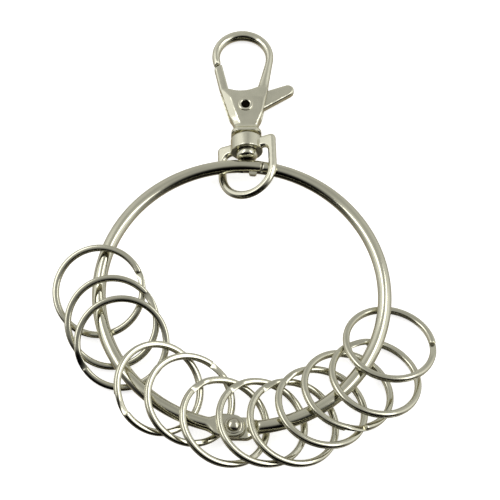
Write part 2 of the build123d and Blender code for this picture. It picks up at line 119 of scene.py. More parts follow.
def skin(rings, closed=False):
    """Vertices and faces over rings of points; open ends are capped."""
    rings = np.asarray(rings)
    count, points = rings.shape[:2]
    faces = []
    for ring in range(count if closed else count - 1):
        here, there = ring * points, (ring + 1) % count * points
        for point in range(points):
            after = (point + 1) % points
            faces.append((here + point, here + after, there + after, there + point))
    if not closed:
        faces.append(tuple(reversed(range(points))))
        faces.append(tuple(range((count - 1) * points, count * points)))
    return rings.reshape(-1, 3), faces


def lathe(profile, origin, axis, segments=48, hollow=False):
    """Shell turned from (radius, height) points, which close on themselves if it is hollow."""
    axis = unit(axis)
    any_other = (0.3, 0.7, 0.2)
    least_radius = 1e-7  # so that a tip keeps its ring of points
    across = unit(np.cross(axis, any_other))
    beside = np.cross(axis, across)
    rings = []
    for radius, height in profile:
        turns = np.linspace(0, 2 * math.pi, segments, endpoint=False)[:, None]
        rim = np.cos(turns) * across + np.sin(turns) * beside
        rings.append(np.asarray(origin) + max(radius, least_radius) * rim + height * axis)
    return skin(rings, hollow)


def make_piece(name, shells, body, materials, replaced):
    """One mesh object from its shells, riding on its body in place of the solids it stands for.

    The materials are one for each shell, or one for all.
    """
    vertices, faces, finish = [], [], []
    for number, (shell_vertices, shell_faces) in enumerate(shells):
        start = len(vertices)
        vertices.extend(map(tuple, shell_vertices))
        faces.extend(tuple(start + corner for corner in face) for face in shell_faces)
        finish.extend([min(number, len(materials) - 1)] * len(shell_faces))
    mesh = bpy.data.meshes.new(name)
    mesh.from_pydata(vertices, [], faces)
    mesh.polygons.foreach_set("material_index", finish)
    mesh.validate()
    turn_outwards(mesh)
    mesh.shade_smooth()
    mesh.set_sharp_from_angle(angle=SKIN_CREASE)
    for material in materials:
        mesh.materials.append(material)
    piece = bpy.data.objects.new(name, mesh)
    bpy.context.scene.collection.objects.link(piece)
    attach(piece, body)
    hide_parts(*replaced)
    return piece


def turn_outwards(mesh):
    """Turns every face of a mesh outwards."""
    shape = bmesh.new()
    shape.from_mesh(mesh)
    bmesh.ops.recalc_face_normals(shape, faces=shape.faces)
    shape.to_mesh(mesh)
    shape.free()


def shape_tree(name):
    """Geometry tree that moves points: the tree, its moving node, the place and a maths helper."""
    tree = bpy.data.node_groups.new(name, "GeometryNodeTree")
    tree.interface.new_socket("Geometry", in_out="INPUT", socket_type="NodeSocketGeometry")
    tree.interface.new_socket("Geometry", in_out="OUTPUT", socket_type="NodeSocketGeometry")
    nodes, links = tree.nodes, tree.links
    move = nodes.new("GeometryNodeSetPosition")
    links.new(nodes.new("NodeGroupInput").outputs["Geometry"], move.inputs["Geometry"])
    links.new(move.outputs["Geometry"], nodes.new("NodeGroupOutput").inputs["Geometry"])
    place = nodes.new("GeometryNodeInputPosition").outputs["Position"]

    def vector(operation, first, second, output="Vector"):
        node = nodes.new("ShaderNodeVectorMath")
        node.operation = operation
        links.new(first, node.inputs[0])
        if isinstance(second, bpy.types.NodeSocket):
            links.new(second, node.inputs["Scale"] if operation == "SCALE" else node.inputs[1])
        else:
            node.inputs[1].default_value = second
        return node.outputs[output]

    return tree, move, place, vector


def wear_round(solid, start, end, passes):
    """Wears a casting rounder from start on, fully from end on; both are points on its length."""
    tree, move, place, vector = shape_tree(f"{solid.name}_wear")
    along = Vector(end) - Vector(start)
    from_start = vector("SUBTRACT", place, start)
    share = vector("DOT_PRODUCT", from_start, along / along.length_squared, "Value")
    clamp = tree.nodes.new("ShaderNodeClamp")
    tree.links.new(share, clamp.inputs["Value"])
    soften = tree.nodes.new("GeometryNodeBlurAttribute")
    soften.data_type = "FLOAT_VECTOR"
    soften.inputs["Iterations"].default_value = passes
    value = next(socket for socket in soften.inputs if socket.name == "Value" and socket.enabled)
    tree.links.new(place, value)
    tree.links.new(clamp.outputs["Result"], soften.inputs["Weight"])
    tree.links.new(next(s for s in soften.outputs if s.enabled), move.inputs["Position"])
    solid.modifiers.new("Worn round", "NODES").node_group = tree


def draw_in(solid, foot, along, stops):
    """Draws a casting in towards its axis; stops are (distance from its foot, share of width)."""
    tree, move, place, vector = shape_tree(f"{solid.name}_waist")
    from_foot = vector("SUBTRACT", place, foot)
    height = vector("DOT_PRODUCT", from_foot, along, "Value")
    curve = tree.nodes.new("ShaderNodeFloatCurve")
    reach = stops[-1][0]
    spread = tree.nodes.new("ShaderNodeMapRange")
    spread.inputs["From Max"].default_value = reach
    tree.links.new(height, spread.inputs["Value"])
    tree.links.new(spread.outputs["Result"], curve.inputs["Value"])
    points = curve.mapping.curves[0].points
    while len(points) < len(stops):
        points.new(0.5, 0.5)
    for point, (away, share) in zip(points, stops):
        point.location = (away / reach, 1 - share)
    curve.mapping.update()
    axial = tree.nodes.new("ShaderNodeVectorMath")
    axial.operation = "PROJECT"
    tree.links.new(from_foot, axial.inputs[0])
    axial.inputs[1].default_value = along
    inwards = vector("SUBTRACT", axial.outputs["Vector"], from_foot)
    tree.links.new(vector("SCALE", inwards, curve.outputs["Value"]), move.inputs["Offset"])
    solid.modifiers.new("Waist", "NODES").node_group = tree


def dress(node, material, grain=0.0, passes=0):
    """Finish for a solid that is shown as it is; grain is the size of the skin laid over it."""
    solid = NODES[node]
    solid.data.materials.clear()
    solid.data.materials.append(material)
    if grain:
        remesh = solid.modifiers.new("Cast skin", "REMESH")
        remesh.mode = "VOXEL"
        remesh.voxel_size = grain
        remesh.use_smooth_shade = True
        soften = solid.modifiers.new("Tumbled edges", "SMOOTH")
        soften.factor = 0.5
        soften.iterations = passes
    else:
        solid.data.shade_smooth()
        solid.data.set_sharp_from_angle(angle=CAD_CREASE)
    return solid


# ---------------------------------------------------------------- finishes
NOISE_LOW, NOISE_HIGH = 0.3, 0.7  # between which nearly all of a noise's values lie
CLOUD_SCALE, CLOUD_DETAIL = 180.0, 3.0
CLOUD_SHADE = 0.9  # share of the tint where the plate is clouded
CREVICE_REACH = 1.1 * MM
PAINTED_CREVICE_SHADE_COLOURS = ((0.2, (0.12, 0.10, 0.07)), (0.62, (1, 1, 1)))  # painted shade in crevices and between parts, by how open a place is
GRAIN_DETAIL, GRAIN_HEIGHT = 4.0, 0.1 * MM
WAVE_SCALE, WAVE_DETAIL, WAVE_HEIGHT = 170.0, 1.0, 0.6 * MM
SMOOTHEST, DULLEST = 0.7, 1.4  # shares of the roughness over the grain

# Tint, roughness, scale and depth of the grain, and depth of the slow waves
FINISHES = {
    "ring_nickel": ("wire_tint", 0.11, 2500, 0.04, 0.0),
    # The rivet's tint is the wire's nickel made darker as painted shade
    "rivet_nickel": ("rivet_tint", 0.11, 3000, 0.05, 0.0),
    "split_ring_nickel": ("wire_tint", 0.12, 2500, 0.05, 0.0),
    # The castings' tint is brighter than the wire's: partly a brighter plate, partly painted light
    "cast_nickel": ("cast_tint", 0.17, 900, 0.05, 0.5),
    # The bore's finish is near black: partly its unplated inside, partly painted shade
    "bore_brown": ("bore_tint", 0.5, 900, 0.3, 0.0),
}


def colour_ramp(tree, fac, stops, interpolation="LINEAR"):
    """Colour by a value, through stops of (position, colour) in their order."""
    node = tree.nodes.new("ShaderNodeValToRGB")
    node.color_ramp.interpolation = interpolation
    elements = node.color_ramp.elements
    while len(elements) < len(stops):
        elements.new(0.5)
    for element, (position, colour) in zip(elements, stops):
        element.position = position
        element.color = (*colour, 1)
    tree.links.new(fac, node.inputs["Fac"])
    return node.outputs["Color"]


def mixed(tree, operation, first, second):
    """Colour that an operation makes of two others."""
    mix = tree.nodes.new("ShaderNodeMix")
    mix.data_type = "RGBA"
    mix.blend_type = operation
    mix.inputs["Factor"].default_value = 1.0
    tree.links.new(first, mix.inputs["A"])
    tree.links.new(second, mix.inputs["B"])
    return mix.outputs["Result"]


def nickel(name, tint, roughness, grain_scale, grain_depth, wave_depth):
    """Bright nickel plate, clouded, with painted shade in its crevices and a grain on slow waves.
    """
    material = bpy.data.materials.new(name)
    material.use_nodes = True
    tree = material.node_tree
    nodes, links = tree.nodes, tree.links
    shader = nodes["Principled BSDF"]
    shader.inputs["Metallic"].default_value = 1.0
    place = nodes.new("ShaderNodeTexCoord")

    def noise(scale, detail):
        pattern = nodes.new("ShaderNodeTexNoise")
        pattern.inputs["Scale"].default_value = scale
        pattern.inputs["Detail"].default_value = detail
        links.new(place.outputs["Object"], pattern.inputs["Vector"])
        return pattern.outputs["Fac"]

    def bump(height, strength, distance, under=None):
        relief = nodes.new("ShaderNodeBump")
        relief.inputs["Strength"].default_value = strength
        relief.inputs["Distance"].default_value = distance
        links.new(height, relief.inputs["Height"])
        if under:
            links.new(under, relief.inputs["Normal"])
        return relief.outputs["Normal"]

    cloud = (NOISE_LOW, [CLOUD_SHADE * part for part in tint]), (NOISE_HIGH, tint)
    plate = colour_ramp(tree, noise(CLOUD_SCALE, CLOUD_DETAIL), cloud)
    # Painted shade: the colour is darkened where ambient occlusion finds the surface closed in, in
    # crevices and between parts
    crevice = nodes.new("ShaderNodeAmbientOcclusion")
    crevice.samples = 6
    crevice.inputs["Distance"].default_value = CREVICE_REACH
    painted_crevice_shade = colour_ramp(tree, crevice.outputs["AO"], PAINTED_CREVICE_SHADE_COLOURS)
    links.new(mixed(tree, "MULTIPLY", plate, painted_crevice_shade), shader.inputs["Base Color"])
    grain = noise(grain_scale, GRAIN_DETAIL)
    dull = nodes.new("ShaderNodeMapRange")
    dull.inputs["From Min"].default_value = NOISE_LOW
    dull.inputs["From Max"].default_value = NOISE_HIGH
    dull.inputs["To Min"].default_value = roughness * SMOOTHEST
    dull.inputs["To Max"].default_value = roughness * DULLEST
    links.new(grain, dull.inputs["Value"])
    links.new(dull.outputs["Result"], shader.inputs["Roughness"])
    waves = bump(noise(WAVE_SCALE, WAVE_DETAIL), wave_depth, WAVE_HEIGHT) if wave_depth else None
    links.new(bump(grain, grain_depth, GRAIN_HEIGHT, waves), shader.inputs["Normal"])
    return material


def finish_of(name):
    """Material of a finish, made the first time that it is asked for."""
    tint_name, *settings = FINISHES[name]
    plating = getattr(bpy.context.scene.nickel_look, tint_name)
    return bpy.data.materials.get(name) or nickel(name, plating, *settings)


# ---------------------------------------------------------------- sizes and colours
def length(name, description, millimetres):
    """Property for a size, given in millimetres."""
    return bpy.props.FloatProperty(
        name=name, description=description, default=millimetres * MM, unit="LENGTH"
    )


def angle(name, description, degrees):
    """Property for an angle, given in degrees."""
    return bpy.props.FloatProperty(
        name=name, description=description, default=math.radians(degrees), subtype="ANGLE"
    )


def tint(name, description, colour):
    """Property for a colour."""
    return bpy.props.FloatVectorProperty(
        name=name, description=description, default=colour, subtype="COLOR"
    )


def amount(name, description, value):
    """Property for a plain number."""
    return bpy.props.FloatProperty(name=name, description=description, default=value)


def count(name, description, value):
    """Property for a whole number."""
    return bpy.props.IntProperty(name=name, description=description, default=value)


class RingSizes(bpy.types.PropertyGroup):
    middle_radius: length("Middle radius", "From the ring's centre to its wire's middle", 36.35)
    wire: length("Wire", "Diameter of the big ring's wire", 3.5)
    ear_width: length("Ear width", "Across the flattened ear round the rivet", 5.9)
    ear_edge: length("Ear edge", "Rounding of the ear's edges", 0.5)
    ear_play: length("Ear play", "Between the two ears", 0.05)
    neck_angle: angle("Neck angle", "From the rivet to where the wire is round again", 11.0)
    closing_angle: angle("Closing angle", "Where the left half ends, counted from +X", 85.27)
    closing_gap: length("Closing gap", "Between the two halves where they meet", 0.15)
    end_round: length("End rounding", "Of the wire's cut ends", 0.4)
    tongue_length: length("Tongue length", "That slides into the left half", 5.0)
    tongue_thickness: length("Tongue thickness", "Of the closing tongue", 1.2)
    tongue_play: length("Tongue play", "On each side of the tongue in its slot", 0.05)
    nub_width: length("Nub", "Width of the nub on the tongue, along the ring", 2.0)
    nub_height: length("Nub height", "Of the nub, from inside the wire to its tip", 1.5)
    nub_corner: length("Nub corner", "Rounding of the nub's corners", 0.6)
    nub_inset: length("Nub inset", "From the left half's end to the nub's middle", 2.2)
    rivet_dome: length("Rivet dome", "Diameter of the hinge rivet's dome", 3.4)
    rivet_dome_height: length("Dome height", "Of the hinge rivet's dome", 1.0)
    rivet_flange: length("Rivet flange", "Diameter of the flange under the dome", 4.4)
    rivet_flange_height: length("Flange height", "Of the hinge rivet's flange", 0.3)
    rivet_shank: length("Rivet shank", "Diameter of the rivet between the ears", 2.4)
    rivet_tail: length("Rivet tail", "Diameter of the tail, sunk into the lower ear", 3.1)


class SplitRingSizes(bpy.types.PropertyGroup):
    outer_radius: length("Outer radius", "Of each turn", 12.0)
    wire_width: length("Wire width", "Across the wire in the ring's plane", 1.7)
    wire_thickness: length("Wire thickness", "Of one turn", 0.82)
    crown: amount("Crown", "How one-sided a turn's section is, from 0 to 1 for a half round", 0.8)
    squareness: amount("Squareness", "Of a turn's section, which is round at 2", 2.5)
    turn_gap: length("Turn gap", "Between the two turns", 0.06)
    jog: angle("Jog", "Angle over which the wire climbs to the upper turn", 27.0)


class CastingSizes(bpy.types.PropertyGroup):
    skin: length("Skin", "Size of the mesh laid over a casting", 0.14)
    passes: count("Softening", "Times that a casting's edges are worn softer", 30)
    loop_passes: count("Loop softening", "Times that the loop's edges are worn softer", 10)
    leg_root: length("Leg root", "Along the swivel's axis, where the hook starts to be round", 15.5)
    hook_round: length("Round hook", "Along the swivel's axis, where the hook is quite round", 20.0)
    hook_passes: count("Hook softening", "Times that the hook is worn rounder", 90)
    waist: amount("Waist", "Share that the neck is drawn in above its lip", 0.15)
    body_thickness: length("Body thickness", "Of the clasp's body, which the rivet spans", 4.8)
    post_diameter: length("Post", "Diameter of the swivel's post", 3.4)
    post_seat: length("Post seat", "From the hub's outer face into the clasp's neck", 3.35)
    head_diameter: length("Head", "Diameter of the swivel post's head", 5.6)
    head_start: length("Head start", "From the hub's outer face to the head", 4.15)
    head_rim: length("Head rim", "Straight part of the head's side", 0.5)
    head_height: length("Head height", "Of the head with its dome", 2.2)
    head_fullness: amount("Head fullness", "1 for an oval dome, less for a flatter face", 0.62)
    rivet_rim: length("Rivet rim", "Diameter of the hollow rivet's rolled rims", 4.0)
    rivet_bore: length("Rivet bore", "Diameter of the hollow rivet's bore", 2.3)
    rivet_roll: length("Rivet roll", "Height of the rolled rims", 0.3)


class NickelLook(bpy.types.PropertyGroup):
    wire_tint: tint("Wire tint", "Colour of the plated wire", (0.70, 0.685, 0.55))
    # Darker than the wire's tint, though the same nickel: painted shade
    rivet_tint: tint("Rivet tint", "Colour of the plated hinge rivet", (0.58, 0.56, 0.45))
    # Brighter than the wire's tint: partly a brighter plate on the castings, partly painted light
    cast_tint: tint("Cast tint", "Colour of the plated castings", (0.82, 0.80, 0.65))
    # Partly the unplated inside of the bore, partly painted shade
    bore_tint: tint("Bore tint", "Colour inside the hollow rivet", (0.05, 0.045, 0.035))


class StageLook(bpy.types.PropertyGroup):
    tent_low: tint("Tent, low", "Cloth round the sides", (0.60, 0.60, 0.58))
    tent_high: tint("Tent, high", "Cloth overhead", (0.36, 0.36, 0.345))
    glow: amount("Glow", "Of the cloth round each strip light", 0.5)
    opening_azimuth: angle("Opening", "Turn of the dark opening from the front", -6.0)
    strip_brightness: amount("Strip brightness", "Of the two strip lights' faces", 1.8)
    strip_width: length("Strip width", "Of the two strip lights", 220)
    floor_glow: amount("Floor glow", "Light that comes through the paper floor", 0.75)
    camera_elevation: angle("Camera elevation", "Of the camera above the floor", 64.8)
    camera_roll: angle("Camera roll", "Turn of the camera about its own line of sight", 3.7)


# ---------------------------------------------------------------- the big ring
def ring_station(sizes, turn):
    """Middle of the wire at an angle round the big ring, and the way outwards there."""
    outwards = np.array((math.cos(turn), math.sin(turn), 0.0))
    height = JOINTS["ring_hinge"]["pos_m"][2]
    return outwards * sizes.middle_radius + UP * height, outwards


def along_ring(sizes, stations):
    """Shell through stations of (angle, outline in the wire's own plane)."""
    rings = []
    for turn, outline in stations:
        middle, outwards = ring_station(sizes, turn)
        rings.append(middle + outline[:, :1] * outwards + outline[:, 1:] * UP)
    return skin(rings)


def half_ring_stations(sizes, side, end):
    """From the ear's tip past the rivet to where the round wire ends; side is -1 for the left."""
    tip_steps, neck_steps, wire_steps = 12, 14, 96
    tip_turn = 87  # degrees, so that the ear doesn't end in a point
    tip_bevel = 0.3 * MM
    radius = sizes.middle_radius
    ear = sizes.ear_width / 2
    ear_thickness = (sizes.wire - sizes.ear_play) / 2
    ear_lift = -side * (sizes.wire + sizes.ear_play) / 4
    root = (ear + 0.1 * MM) / radius
    stations = []

    def add(away, width, height, edge, lift):
        outline = rounded_section(width, height, edge)
        stations.append((math.radians(270) + side * away, outline + (0.0, lift)))

    for step in range(tip_steps):
        back = math.radians(tip_turn * (1 - step / tip_steps))
        edge = sizes.ear_edge * min(1.0, 0.3 + step / 8)
        thickness = ear_thickness - 2 * max(0.0, tip_bevel * (1 - step / 3))
        add(-math.sin(back) * ear / radius, 2 * ear * math.cos(back), thickness, edge, ear_lift)
    add(0, 2 * ear, ear_thickness, sizes.ear_edge, ear_lift)
    for step in range(neck_steps + 1):
        share = smooth_step(step / neck_steps)
        away = root + (sizes.neck_angle - root) * step / neck_steps
        width = 2 * ear + (sizes.wire - 2 * ear) * share
        height = ear_thickness + (sizes.wire - ear_thickness) * share
        edge = sizes.ear_edge + (sizes.wire / 2 - sizes.ear_edge) * share
        add(away, width, height, edge, ear_lift * (1 - share))
    for away in np.linspace(sizes.neck_angle, end, wire_steps + 1)[1:]:
        add(away, sizes.wire, sizes.wire, sizes.wire / 2, 0.0)
    return stations


def rounded_end(sizes, stations, side, outline):
    """Ends the wire with a small round at its cut face."""
    turn = stations[-1][0]
    reach = sizes.end_round / sizes.middle_radius
    for step in range(1, 6):
        bend = math.radians(90 * step / 5)
        scale = 1 - sizes.end_round * (1 - math.cos(bend)) / (sizes.wire / 2)
        stations.append((turn + side * reach * math.sin(bend), outline * scale))
    return stations


def wire_slice(sizes, low, high, points=12):
    """Part of the wire's round section between two heights."""
    radius = sizes.wire / 2
    turns = np.linspace(math.asin(max(low / radius, -1)), math.asin(min(high / radius, 1)), points)
    right = np.stack((radius * np.cos(turns), radius * np.sin(turns)), 1)
    left = right[::-1] * (-1, 1)
    return np.concatenate((right, left))


def domed_rivet(sizes, joint):
    """Dome on its flange, shank and sunk tail of the rivet through the hinge."""
    top = sizes.wire / 2
    foot = top + sizes.rivet_flange_height
    dome, flange, tail = sizes.rivet_dome / 2, sizes.rivet_flange / 2, sizes.rivet_tail / 2
    profile = []
    for turn in np.linspace(0, math.pi / 2, 12):
        profile.append((dome * math.sin(turn), foot + sizes.rivet_dome_height * math.cos(turn)))
    profile += [(flange - 0.15 * MM, foot), (flange, foot - 0.1 * MM), (flange, top)]
    profile += [(sizes.rivet_shank / 2, 0.0), (tail, 0.05 * MM - top), (tail - 0.25 * MM, -top)]
    profile.append((0.0, -top))
    return lathe(profile, joint["pos_m"], UP)


class KEYRING_OT_big_ring(bpy.types.Operator):
    """Round wire halves of the big ring, with their hinge ears and the closing tongue"""

    bl_idname = "keyring.big_ring"
    bl_label = "Big Ring"

    def execute(self, context):
        sizes = context.scene.ring_sizes
        plate = finish_of("ring_nickel")
        radius = sizes.middle_radius
        round_wire = rounded_section(sizes.wire, sizes.wire, sizes.wire / 2)
        end = sizes.closing_angle
        gap = sizes.closing_gap / radius
        tip = end + sizes.tongue_length / radius
        slot_floor = tip + 4 * gap
        bevel = sizes.end_round / radius
        half_slot = sizes.tongue_thickness / 2 + sizes.tongue_play

        left = [along_ring(sizes, half_ring_stations(sizes, -1, math.radians(270) - slot_floor))]
        for low, high in ((half_slot, sizes.wire / 2), (-sizes.wire / 2, -half_slot)):
            lip = wire_slice(sizes, low, high)
            turns = np.linspace(slot_floor + bevel, end + bevel, 12)
            left.append(along_ring(sizes, rounded_end(sizes, [(t, lip) for t in turns], -1, lip)))
        half = make_piece("ring_half_left_wire", left, "ring_left", [plate], ["ring_half_left"])

        stations = half_ring_stations(sizes, 1, math.radians(90) + end - gap - bevel)
        right = [along_ring(sizes, rounded_end(sizes, stations, 1, round_wire))]
        blade = wire_slice(sizes, -sizes.tongue_thickness / 2, sizes.tongue_thickness / 2, 6)
        turns = np.linspace(end - gap - 2 * bevel, tip - bevel, 14)
        right.append(along_ring(sizes, rounded_end(sizes, [(t, blade) for t in turns], 1, blade)))
        middle, outwards = ring_station(sizes, end + sizes.nub_inset / radius)
        beside = np.cross(UP, outwards)
        nub = rounded_section(sizes.nub_width, sizes.nub_height, sizes.nub_corner)
        face = middle - outwards * sizes.wire / 2 + nub[:, :1] * beside + nub[:, 1:] * outwards
        lift = UP * (sizes.tongue_thickness / 2 - HAIR)
        right.append(skin([face - lift, face + lift]))
        half = make_piece("ring_half_right_wire", right, "ring_right", [plate], ["ring_half_right"])

        steel = finish_of("rivet_nickel")
        head = domed_rivet(sizes, JOINTS["ring_hinge"])
        rivet = make_piece("hinge_rivet_head", [head], "ring_left", [steel], ["hinge_rivet"])
        return {"FINISHED"}


# ---------------------------------------------------------------- split rings
def split_ring_plane(node):
    """Middle, way to the jog and way up of a split ring, measured on its solid."""
    upwards = 0.7  # least rise of the normal of a face that may be the ring's flat top
    rim_share = 0.985  # of the reach, from which a corner is on the rim
    mesh = NODES[node].data
    corners = np.array([vertex.co for vertex in mesh.vertices])
    faces = {}
    for face in mesh.polygons:
        if face.normal.z > upwards:
            key = tuple(round(part, 2) for part in face.normal)
            faces.setdefault(key, []).append((face.area, np.array(face.normal)))
    flat = max(faces.values(), key=lambda group: sum(area for area, _ in group))
    up = unit(sum(area * normal for area, normal in flat))
    heights = corners @ up
    height = (heights.min() + heights.max()) / 2
    across = unit(np.cross(up, (1.0, 0.0, 0.0)))
    beside = np.cross(up, across)
    spot = np.stack((corners @ across, corners @ beside), 1)
    middle = (spot.min(0) + spot.max(0)) / 2
    reach = np.linalg.norm(spot - middle, axis=1)
    rim = spot[reach > reach.max() * rim_share]
    squares = np.column_stack((2 * rim, np.ones(len(rim))))
    middle = np.linalg.lstsq(squares, (rim**2).sum(1), rcond=None)[0][:2]
    near_middle = np.abs(heights - height) < (heights.max() - heights.min()) / 4
    jog = (spot[near_middle] - middle).mean(0)
    to_jog = unit(jog[0] * across + jog[1] * beside)
    return middle[0] * across + middle[1] * beside + height * up, to_jog, up


def split_ring_shell(sizes, node):
    """The wire's two turns as one coil that climbs over its jog."""
    worn_scale, worn_turn = 0.82, 0.02  # of the section at a cut end, and how far the wear goes
    middle, to_jog, up = split_ring_plane(node)
    beside = np.cross(up, to_jog)
    half_rise = (sizes.wire_thickness + sizes.turn_gap) / 2
    half_jog = sizes.jog / 2
    turn = 2 * math.pi - sizes.jog
    flat = np.linspace(0, 1, 105)
    climb = flat[6:-6:6]
    path = [(-half_jog - share * turn, -1.0, 1.0) for share in flat]
    path += [(half_jog - share * sizes.jog, 2 * smooth_step(share) - 1, 1.0) for share in climb]
    path += [(-half_jog - share * turn, 1.0, 1.0) for share in flat]
    for end, inwards in ((0, -worn_turn), (-1, worn_turn)):
        around, rise, _ = path[end]
        path[end] = (around, rise, worn_scale)
        path.insert(1 if end == 0 else -1, (around + inwards, rise, 1.0))
    rings = []
    reach = sizes.outer_radius - sizes.wire_width / 2
    for around, rise, scale in path:
        level = -rise * sizes.crown
        outline = crowned_section(sizes.wire_width, sizes.wire_thickness, level, sizes.squareness)
        outwards = math.cos(around) * to_jog + math.sin(around) * beside
        centre = middle + reach * outwards + rise * half_rise * up
        rings.append(centre + scale * (outline[:, :1] * outwards + outline[:, 1:] * up))
    return skin(rings)


class KEYRING_OT_split_rings(bpy.types.Operator):
    """Two-turn split rings threaded on the big ring"""

    bl_idname = "keyring.split_rings"
    bl_label = "Split Rings"

    def execute(self, context):
        plate = finish_of("split_ring_nickel")
        for node in SPLIT_RINGS:
            shell = split_ring_shell(context.scene.split_ring_sizes, node)
            ring = make_piece(f"{node}_coil", [shell], NODES[node]["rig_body"], [plate], [node])
        return {"FINISHED"}


# ---------------------------------------------------------------- swivel and clasp
def headed_post(sizes, joint):
    """Post of the swivel with its rounded head, which holds the loop's hub."""
    post, rim, back = sizes.post_diameter / 2, sizes.head_diameter / 2, sizes.head_start
    rise = sizes.head_height - sizes.head_rim
    bevel = 0.15 * MM
    profile = [(0.0, sizes.post_seat), (post, sizes.post_seat)]
    profile += [(post, -back), (rim - bevel, -back), (rim, -back - bevel)]
    for turn in np.linspace(0, math.pi / 2, 14):
        out, up = math.cos(turn) ** sizes.head_fullness, math.sin(turn) ** sizes.head_fullness
        profile.append((rim * out, -back - sizes.head_rim - rise * up))
    return lathe(profile, joint["pos_m"], joint["axis"], 64)


class KEYRING_OT_swivel(bpy.types.Operator):
    """Cast loop that the big ring passes through, and the headed post inside it"""

    bl_idname = "keyring.swivel"
    bl_label = "Swivel"

    def execute(self, context):
        sizes = context.scene.casting_sizes
        cast = finish_of("cast_nickel")
        dress("swivel_loop", cast, sizes.skin, sizes.loop_passes)
        head = headed_post(sizes, JOINTS["clasp_swivel"])
        make_piece("swivel_post_head", [head], "clasp", [cast], ["swivel_post"])
        return {"FINISHED"}


def hollow_rivet(sizes, joint):
    """Rolled rims of the gate's rivet, and its bore lined dark: partly unplated, partly painted
    shade.
    """
    half, rim = sizes.body_thickness / 2, sizes.rivet_rim / 2
    bore = sizes.rivet_bore / 2
    crest = (rim - bore) / 2
    profile = []
    for turn in np.linspace(0, math.pi, 14):
        radius = bore + crest + crest * math.cos(turn)
        profile.append((radius, half + sizes.rivet_roll * math.sin(turn)))
    profile += [(radius, -height) for radius, height in reversed(profile)]
    # A thin dark sheet just inside the bore: partly its unplated inside, partly painted shade
    inside, outside = bore * 0.97, bore * 1.001
    lining = [(inside, half), (outside, half), (outside, -half), (inside, -half)]
    place = joint["pos_m"], joint["axis"]
    return [lathe(shape, *place, 56, hollow=True) for shape in (profile, lining)]


class KEYRING_OT_clasp(bpy.types.Operator):
    """Hook, body and neck of the clasp with its gate, hollow rivet and spring"""

    bl_idname = "keyring.clasp"
    bl_label = "Clasp"

    def execute(self, context):
        sizes = context.scene.casting_sizes
        cast = finish_of("cast_nickel")
        casting = dress("clasp_body", cast, sizes.skin, sizes.passes)
        swivel, pivot = JOINTS["clasp_swivel"], JOINTS["gate_pivot_turn"]
        along = Vector(swivel["axis"]).normalized()
        foot = Vector(swivel["pos_m"])
        shoulder, hook = (foot + along * height for height in (sizes.leg_root, sizes.hook_round))
        wear_round(casting, shoulder, hook, sizes.hook_passes)
        waist = 1 - sizes.waist
        # Millimetres from the neck's foot, and share of the casting's width: the gap over the hub,
        # the neck's lip, its waist, and the body
        stops = [(0.0, 0.5), (0.85, 0.52), (1.15, 1.0), (1.8, 1.0)]
        stops += [(3.0, waist), (4.2, waist), (6.5, 0.98), (9.0, 1.0)]
        draw_in(casting, foot, along, [(height * MM, share) for height, share in stops])
        dress("gate_lever", cast, sizes.skin, sizes.passes)
        shells = hollow_rivet(sizes, pivot)
        # The bore's near-black finish is partly painted shade
        bore = finish_of("bore_brown")
        rivet = make_piece("gate_pivot_rivet", shells, "clasp", [cast, bore], ["gate_pivot"])
        dress("gate_spring", cast)
        return {"FINISHED"}


# ---------------------------------------------------------------- stage
# Soft shapes in the tent's light have a middle, given by its turn from the front and its elevation
# in degrees, and stops of (degrees away from the middle, value or colour).
GLOWS = ((-105, 40), (95, 34))
GLOW_EDGE = ((60, 0.0), (38, 0.15))
GLOW_CORE = 15  # where the glow is full

# The dark opening is three shapes: each has its turn from the opening's own, its elevation, and
# how many degrees its edge is further out.
OPENINGS = ((8, 12, 0.0), (-10, -6, 2.0), (14, -6, 3.0))
OPENING_EDGE = ((76, 1.0), (58, 0.66), (46, 0.2), (32, 0.04))

DOWN = (0, 0, -1)
BELOW_SHADE = ((90, 1.0), (70, 0.9), (45, (0.6, 0.53, 0.41)), (15, (0.42, 0.36, 0.27)))
BELOW_BOUNCE = ((64, 0.0), (48, (0.035, 0.033, 0.028)), (27, (0.085, 0.08, 0.068)), (0, 0.12))

STRIP_START, STRIP_END = (0.32, 0.36, 0.6), (0.68, -0.30, 0.6)  # of the right one
FLOOR_SIZE = 3.0
PAPER_GREYS = (0.94, 0.96)
VIEW_MIDDLE = (0.0013, 0.0123, 0.0047)
CAMERA_DISTANCE = 0.514
LENS, SENSOR = 144.0, 36.0


def toward(azimuth, elevation):
    """Direction at a turn from the front (-Y) towards +X, in degrees, and an elevation."""
    turn, lift = math.radians(azimuth), math.radians(elevation)
    return (math.sin(turn) * math.cos(lift), -math.cos(turn) * math.cos(lift), math.sin(lift))


